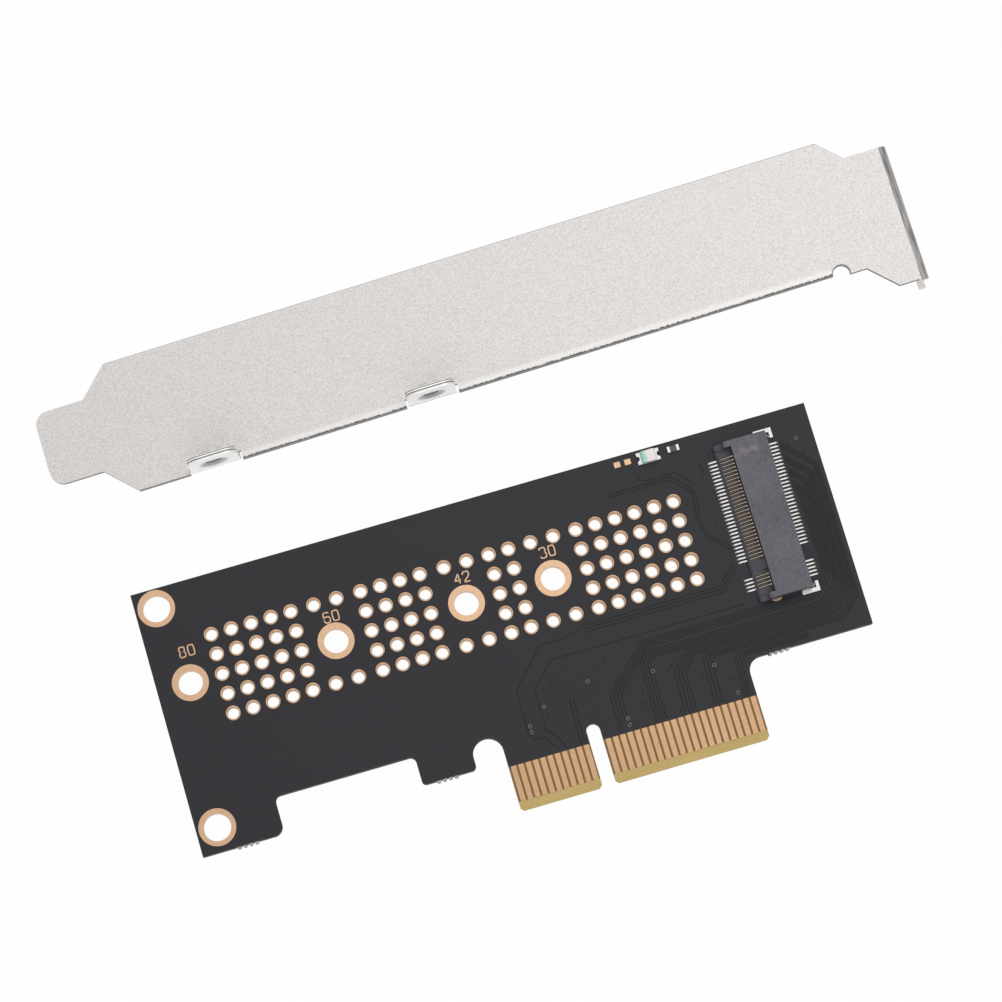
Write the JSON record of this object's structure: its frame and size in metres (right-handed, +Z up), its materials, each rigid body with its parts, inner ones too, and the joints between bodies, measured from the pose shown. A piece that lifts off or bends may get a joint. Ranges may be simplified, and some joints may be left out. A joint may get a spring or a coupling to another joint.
{
  "type": "nvme adapter card",
  "caption": "Black PCI Express adapter card for an M.2 drive, with gold edge contacts, a drive socket, rows of vent holes and its slot bracket lying beside it.",
  "frame": {"origin": "where the key notch's centre line meets the contact edge, on the card's underside", "axes": "+X along the card's long edge away from its bracket end, +Y from the contact edge up the card, +Z up from the underside"},
  "size_m": [0.1204, 0.0746, 0.0107],
  "materials": {
    "mask": "satin",
    "gold": "satin",
    "moulding": "satin",
    "tin": "satin",
    "zinc_sheet": "matt",
    "white_ceramic": "matt",
    "clear_lens": "gloss",
    "dark_glaze": "gloss"
  },
  "bodies": {
    "root": {"circuit_board": "mask", "contacts_short_top": "gold", "contacts_short_under": "gold", "contacts_long_top": "gold", "contacts_long_under": "gold", "standoff_hole_plating": "gold", "bracket_hole_plating": "gold", "peg_hole_plating": "gold", "empty_pads": "gold", "socket_housing": "moulding", "hold_down_far": "tin", "hold_down_near": "tin", "lamp_base": "white_ceramic", "lamp_terminals": "tin", "lamp_lens": "clear_lens", "resistor_chip": "dark_glaze", "resistor_end_caps": "tin", "slot_bracket": "zinc_sheet", "socket_pins_rear_long": "tin", "socket_pins_rear_short": "tin", "socket_pins_front_long": "gold", "socket_pins_front_short": "gold"}
  },
  "joints": []
}
